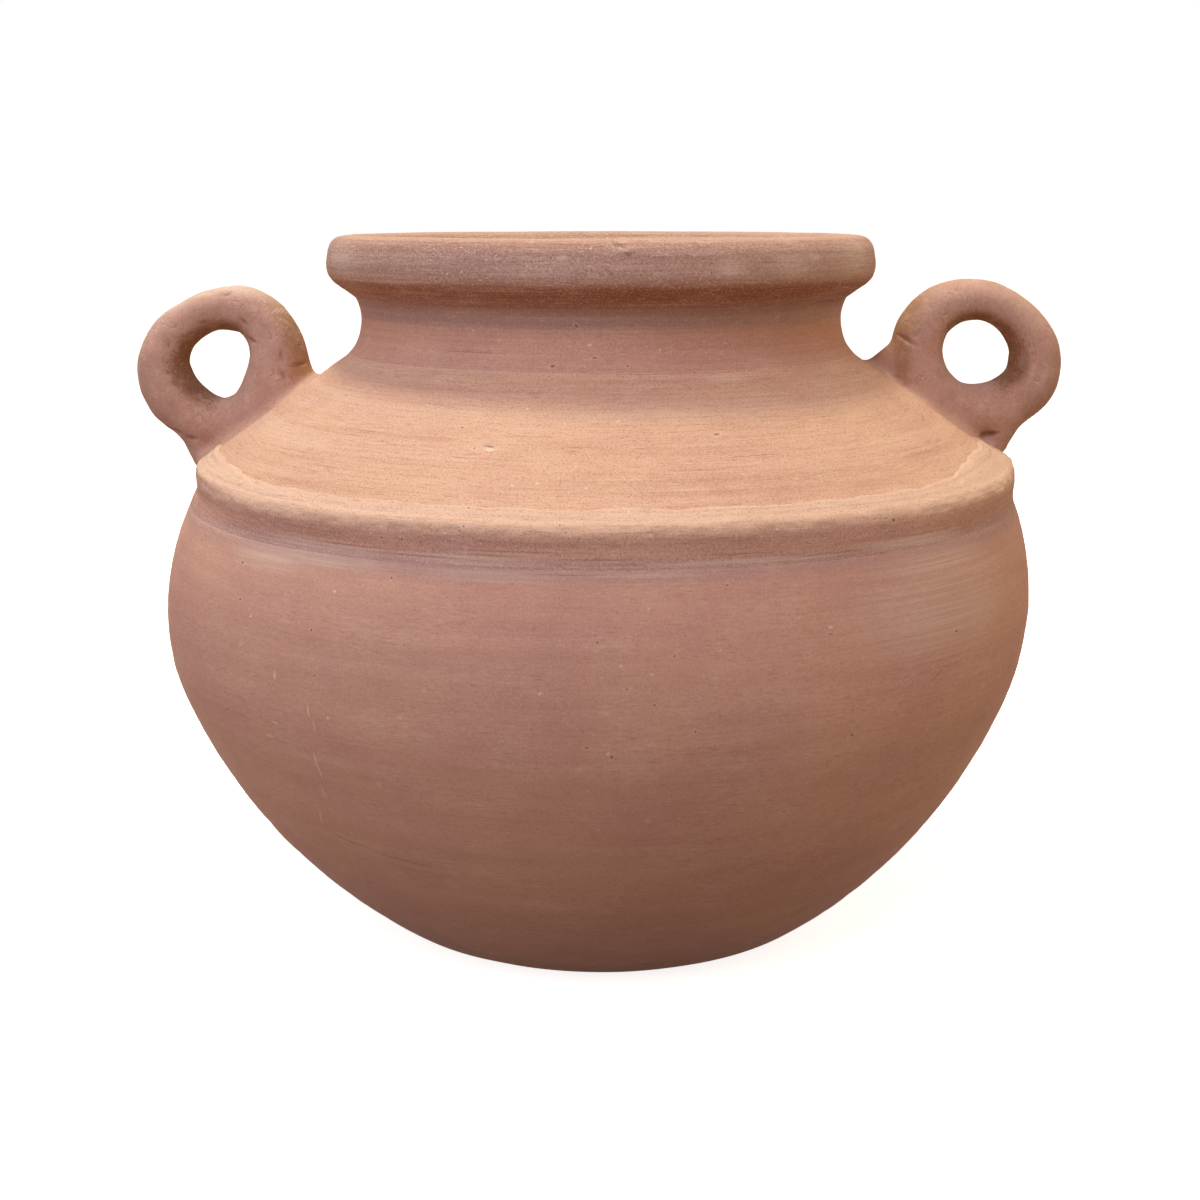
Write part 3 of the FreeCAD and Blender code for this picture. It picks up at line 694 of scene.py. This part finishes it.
rightHandle = dict(
    side=1,
    coil=((226.6, 297.4, 13), (219.7, 310.7, 11.1), (208.9, 319.6, 10.2), (195.8, 323.8, 10.5), (181.6, 322, 11.4),
          (169.7, 312.8, 12.6), (165, 297.4, 13.5), (169.8, 281.5, 13.5), (182.1, 270.3, 13), (197.9, 267.4, 13),
          (213.3, 270.8, 13.5), (225, 281.6, 13.9)),
    innerWad=((161.2, 299.4, 8), (140.7, 289.9, 3)), outerWad=((211.7, 264, 10.7), (208.5, 250.2, 6.6)),
    innerCut=((154.5, 306), (186, 250)), outerCut=((226, 266), (193, 248)), depth=0.92,
    fillet=((154, 4.5), (168, 11), (198, 11), (208, 5)), innerFold=2, outerFold=3, lumps=0.5, paintedTopLightShow=0,
    creaseShade=0.5,
    folds=((157.9, 304, 6.2, 1.5, -30, 0.9), (203.9, 255, 5.8, 1.8, 8, 1.7), (163, 307.3, 3.2, 1.4, 50, 0.6),
           (154.5, 284.7, 4.2, 1.3, -25, 0.7), (183, 329, 1.5, 1.3, 0, 0.6), (215.8, 287.6, 2.6, 1.6, 60, 0.5)))
# In mm: the grid round a handle, how deep its clay is let into the pot and how far it spreads, and its lumps
clayNet = dict(step=1.05, across=34, inward=34, outward=18, floor=222, above=16, probe=0.15, stride=0.6,
               leastSlope=0.2, chunk=20000, potFrom=190, potTo=330, spare=0.4, bury=2.6, skirt=15, wadDepth=0.78,
               drops=(4, 8, 12), dropFold=3, lumpSize=17, dentSize=6.5, dent=0.3)
# Where a handle's tints start and are full, by the way the clay faces or by mm
tintEdges = dict(hole=(0.2, 0.75), holeReach=(34, 28), shade=(0.1, 0.6), neck=(0.25, 0.8), neckOut=(0, 0.4),
                 smear=(6, 1), top=(0.45, 0.95), topOut=(0, 0.5), front=(0.1, 0.5))


def softMin(a, b, blend):
    h = np.maximum(blend - np.abs(a - b), 0) / blend
    return np.minimum(a, b) - h * h * blend / 4


def ringLine(stations, count=200):
    p = np.array(stations, float)
    t = np.linspace(0, 1, count // len(p), endpoint=False)[:, None]
    around = zip(np.roll(p, 1, 0), p, np.roll(p, -1, 0), np.roll(p, -2, 0))
    return np.concatenate([spline(*ends, t) for ends in around])


potOutline = np.array([spot for spot in skinOutline if clayNet["potFrom"] < spot[1] < clayNet["potTo"]])


def offSegment(x, z, x0, z0, x1, z1):  # how far along a segment, and the way there
    dx, dz = x1 - x0, z1 - z0
    t = np.clip(((x - x0) * dx + (z - z0) * dz) / (dx * dx + dz * dz), 0, 1)
    return t, x - x0 - t * dx, z - z0 - t * dz


def aboveClay(x, y, z, side):  # distance outside the turned pot
    r = np.hypot(x - side * shiftAt(z), y)
    best = np.full(r.shape, 1e9)
    for start, end in zip(potOutline, potOutline[1:]):
        best = np.minimum(best, np.hypot(*offSegment(r, z, *start, *end)[1:]))
    return np.where(r > np.interp(z, potOutline[:, 1], potOutline[:, 0]), best, -best)


def lump(x, y, z, ends):
    (x0, z0, h0), (x1, z1, h1) = ends
    t, u, v = offSegment(x, z, x0, z0, x1, z1)
    return np.sqrt(u ** 2 + v ** 2 + (clayNet["wadDepth"] * y) ** 2) - (h0 + t * (h1 - h0))


def handleClayAt(spec, line, x, y, z):
    flatX, flatZ = x.ravel(), z.ravel()
    far, half = np.empty(flatX.shape), np.empty(flatX.shape)
    for i in range(0, len(flatX), clayNet["chunk"]):
        some = slice(i, i + clayNet["chunk"])
        gap = (flatX[some, None] - line[:, 0]) ** 2 + (flatZ[some, None] - line[:, 1]) ** 2
        pick = gap.argmin(1)
        far[some] = gap[np.arange(len(pick)), pick]
        half[some] = line[pick, 2]
    ring = np.sqrt(far.reshape(x.shape) + (spec["depth"] * y) ** 2) - half.reshape(x.shape)
    wad = lump(x, y, z, spec["innerWad"])
    for drop in clayNet["drops"]:  # the inner wad is smeared down to the shoulder
        wad = softMin(wad, lump(x, y, z + drop, spec["innerWad"]), clayNet["dropFold"])
    clay = softMin(ring, wad, spec["innerFold"])
    clay = softMin(clay, lump(x, y, z, spec["outerWad"]), spec["outerFold"])
    above = aboveClay(x, y, z, spec["side"])
    joined = softMin(clay, above + clayNet["spare"], np.interp(x, *zip(*spec["fillet"])))
    return np.maximum(np.maximum(joined, -(above + clayNet["bury"])), clay - clayNet["skirt"])


def netOver(field, low, step):
    # A mesh over the zero surface of a field on a grid: a point in each crossed cell, a face across each crossed edge
    inside = field < 0
    corners = [inside[tuple(slice(k, n - 1 + k) for k, n in zip(corner, field.shape))]
               for corner in np.ndindex(2, 2, 2)]
    cells = np.any(corners, axis=0) & ~np.all(corners, axis=0)
    number = np.full(cells.shape, -1)
    where = np.argwhere(cells)
    number[cells] = np.arange(len(where))
    ways = np.eye(3, dtype=int)
    total, hits = np.zeros((len(where), 3)), np.zeros(len(where))
    for axis in range(3):
        side, up = np.delete(ways, axis, 0)
        for p, q in np.ndindex(2, 2):
            a = where + side * p + up * q
            fa, fb = field[tuple(a.T)], field[tuple((a + ways[axis]).T)]
            cross = (fa < 0) != (fb < 0)
            t = np.where(cross, fa / np.where(cross, fa - fb, 1), 0)
            total += np.where(cross[:, None], a + t[:, None] * ways[axis], 0)
            hits += cross
    spots = np.array(low) + step * total / hits[:, None]
    faces, around = [], ((0, 0), (1, 0), (1, 1), (0, 1))
    for axis in range(3):
        u, v = ways[(axis + 1) % 3], ways[(axis + 2) % 3]
        here, ahead = [slice(1, -1)] * 3, [slice(1, -1)] * 3
        here[axis], ahead[axis] = slice(0, -1), slice(1, None)
        edges = np.argwhere(inside[tuple(here)] != inside[tuple(ahead)]) + [part.start for part in here]
        quads = np.stack([number[tuple((edges - u * p - v * q).T)] for p, q in around], axis=1)
        flip = ~inside[tuple(edges.T)]
        quads[flip] = quads[flip][:, ::-1]
        faces.append(quads)
    return spots, np.concatenate(faces)


def cutOff(mesh, cuts, name):
    # Keeps the side of each upright plane that its sign names, and closes the cut
    work = bmesh.new()
    work.from_mesh(mesh)
    for (x0, z0), (x1, z1), side, keep in cuts:
        normal = Vector((side * (z1 - z0), 0, -(x1 - x0))).normalized() * keep
        bmesh.ops.bisect_plane(work, geom=work.verts[:] + work.edges[:] + work.faces[:], dist=1e-7,
                               plane_co=Vector((side * x0, 0, z0)) * mm, plane_no=normal, clear_outer=True)
        bmesh.ops.holes_fill(work, edges=[e for e in work.edges if e.is_boundary], sides=0)
    bmesh.ops.recalc_face_normals(work, faces=work.faces[:])
    made = bpy.data.meshes.new(name)
    work.to_mesh(made)
    work.free()
    made.materials.append(handleClay)
    return made


def dressHandle(word, spec):
    line = ringLine(spec["coil"])
    side, step, across, probe = spec["side"], clayNet["step"], clayNet["across"], clayNet["probe"]
    xs = np.arange(line[:, 0].min() - clayNet["inward"], line[:, 0].max() + clayNet["outward"], step)
    ys = np.arange(-across, across + step, step)
    zs = np.arange(clayNet["floor"], line[:, 1].max() + clayNet["above"], step)
    clayAt = partial(handleClayAt, spec, line)
    field = clayAt(*np.meshgrid(xs, ys, zs, indexing="ij"))
    spots, faces = netOver(field, (xs[0], ys[0], zs[0]), step)
    for _ in range(2):  # draws the net onto the true surface
        value = clayAt(*spots.T)
        slope = np.stack([clayAt(*(spots + d).T) - clayAt(*(spots - d).T) for d in np.eye(3) * probe], axis=1)
        slope /= 2 * probe
        size = np.maximum((slope ** 2).sum(1), clayNet["leastSlope"])
        spots = spots - np.clip(value / size, -clayNet["stride"], clayNet["stride"])[:, None] * slope
    normal = slope / np.linalg.norm(slope, axis=1)[:, None]
    apart = Vector((side * 9, 0, 0))  # gives each handle its own lumps
    bumps = np.array([noise.noise(Vector(p) / clayNet["lumpSize"] + apart)
                      + noise.noise(Vector(p) / clayNet["dentSize"]) * clayNet["dent"] for p in spots])
    away = spots[:, [0, 2]] - line[:, :2].mean(0)
    reach = np.linalg.norm(away, axis=1)
    facing = (normal[:, [0, 2]] * away).sum(1) / reach
    shaded = np.maximum(-normal[:, 0], -0.7 * normal[:, 2])  # hole faces that look down or towards the neck, where the painted shade goes

    def tint(name, value):
        return softStep(value, *tintEdges[name])

    # Painted shade on the hole walls and on the side facing the neck, a painted highlight on the top; the smear takes
    # the shoulder's clay
    tints = dict(paintedHoleShade=tint("hole", -facing) * tint("holeReach", reach) * tint("shade", shaded),
                 paintedNeckSideShade=tint("neck", -normal[:, 0]) * tint("neckOut", facing),
                 smear=tint("smear", aboveClay(*spots.T, side)),
                 paintedTopLight=spec["paintedTopLightShow"] * tint("top", normal[:, 2]) * tint("topOut", facing),
                 crease=np.zeros(len(spots)))
    for x0, z0, long, wide, tilt, deep in spec["folds"]:
        turn = math.radians(tilt * side)
        dx, dz = spots[:, 0] - x0, spots[:, 2] - z0
        u = (dx * math.cos(turn) + dz * math.sin(turn)) / long
        v = (dz * math.cos(turn) - dx * math.sin(turn)) / wide
        pressed = np.clip(1 - u * u - v * v, 0, 1) * tint("front", -normal[:, 1])
        # painted shade in the finger creases
        tints["crease"] = np.maximum(tints["crease"], spec["creaseShade"] * pressed ** 3)
        bumps = bumps - deep / spec["lumps"] * pressed
    spots = spots + normal * (spec["lumps"] * bumps)[:, None]
    spots[:, 0] *= side
    mesh = bpy.data.meshes.new(word + "_handle")
    mesh.from_pydata((spots * mm).tolist(), [], faces.tolist())
    for name, values in tints.items():
        mesh.attributes.new(name, "FLOAT", "POINT").data.foreach_set("value", values.astype(np.float32))
    inner, outer = spec["innerCut"], spec["outerCut"]
    for piece, cuts in (("loop", ((*inner, side, 1), (*outer, side, -1))), ("inner_wad", ((*inner, side, -1),)),
                        ("outer_wad", ((*outer, side, 1),))):
        made = cutOff(mesh, cuts, f"{word}_{piece}")
        finishPiece(made, f"{word}_handle_{piece}")
    bpy.data.meshes.remove(mesh)


dressHandle("left", leftHandle)
dressHandle("right", rightHandle)
print("handles pressed on")

# Plain pale floor and white surround. Only the camera, mirrors and glass see them white:
# what they throw back on the clay is dim, as from a dull shop floor
stageLook = dict(floor="#F6F5F3", dim="#85776E", glow=0.84, size=30)


def seenPale(tree):
    path = addNode(tree, "ShaderNodeLightPath").outputs
    seen = operate(tree, "ShaderNodeMath", "MAXIMUM", path["Is Camera Ray"], path["Is Glossy Ray"])
    return operate(tree, "ShaderNodeMath", "MAXIMUM", seen, path["Is Transmission Ray"])


floorMaterial = bpy.data.materials.new("paleFloor")
floorMaterial.use_nodes = True
floorTree = floorMaterial.node_tree
floorTree.nodes.remove(floorTree.nodes["Principled BSDF"])
palePaper = addNode(floorTree, "ShaderNodeBsdfDiffuse", {"Color": linear(stageLook["floor"])})
paleGlow = addNode(floorTree, "ShaderNodeEmission", {"Strength": stageLook["glow"]})
dimFloor = addNode(floorTree, "ShaderNodeBsdfDiffuse", {"Color": linear(stageLook["dim"])})
paleFloor = addNode(floorTree, "ShaderNodeAddShader", {0: palePaper, 1: paleGlow})
floorLook = addNode(floorTree, "ShaderNodeMixShader", {0: seenPale(floorTree), 1: dimFloor, 2: paleFloor})
floorTree.links.new(floorLook.outputs[0], floorTree.nodes["Material Output"].inputs["Surface"])
half = stageLook["size"] / 2
floorMesh = bpy.data.meshes.new("floor")
floorMesh.from_pydata([(-half, -half, 0), (half, -half, 0), (half, half, 0), (-half, half, 0)], [], [(0, 1, 2, 3)])
floorMesh.materials.append(floorMaterial)
floor = addObject("floor", floorMesh)

world = bpy.data.worlds.new("surround")
scene.world = world
world.use_nodes = True
worldTree = world.node_tree
surround = dict(fill="#FFE4BC", fillStrength=0.42, seen="#FFFFFF")
back = worldTree.nodes["Background"]
seen = seenPale(worldTree)
worldColour = addNode(worldTree, "ShaderNodeMix", {0: seen, 6: linear(surround["fill"]), 7: linear(surround["seen"])},
                      data_type="RGBA")
dim = surround["fillStrength"]
worldLevel = operate(worldTree, "ShaderNodeMath", "MULTIPLY_ADD", seen, 1 - dim, dim)
worldTree.links.new(worldColour.outputs[2], back.inputs["Color"])
worldTree.links.new(worldLevel.outputs[0], back.inputs["Strength"])

# Studio lamps: a small one overhead draws the rim's shadow, the others are large and soft
lamps = dict(
    overhead=dict(at=(-0.2, 0.25, 2.27), aim=(0, 0, 0.25), size=0.42, watts=25.6, colour="#FFFCDC"),
    ceiling=dict(at=(-0.7, 0, 2.3), aim=(0, 0, 0), size=3.5, watts=9, colour="#DDE0FF"),
    front=dict(at=(-0.35, -1.7, 2), aim=(0, 0, 0.2), size=1.2, watts=21, colour="#DDE0FF"),
    left=dict(at=(-2, -1, 1), aim=(0, 0, 0.2), size=1.6, watts=11, colour="#E0DCE8"),
    right=dict(at=(2, -0.6, 1.4), aim=(0, 0, 0.2), size=1.6, watts=9, colour="#FFD6A4"))
for name, spec in lamps.items():
    lamp = bpy.data.lights.new(name, "AREA")
    lamp.shape = "DISK"
    lamp.size = spec["size"]
    lamp.energy = spec["watts"]
    lamp.color = linear(spec["colour"])[:3]
    holder = addObject(name, lamp)
    holder.location = spec["at"]
    holder.rotation_euler = (Vector(spec["aim"]) - Vector(spec["at"])).to_track_quat("-Z", "Y").to_euler()

# Where the photo was taken from, fitted to the outline
view = dict(at=(0, -0.9105, 0.3702), tilt=77.25, lens=51.96, sensor=36, near=0.01)
camera = bpy.data.cameras.new("view")
camera.lens = view["lens"]
camera.sensor_width = view["sensor"]
camera.sensor_fit = "HORIZONTAL"
camera.clip_start = view["near"]
eye = addObject("view", camera)
eye.location = view["at"]
eye.rotation_euler = (math.radians(view["tilt"]), 0, 0)
scene.camera = eye
scene.view_settings.view_transform = "Standard"
print("stage, lamps and camera set")
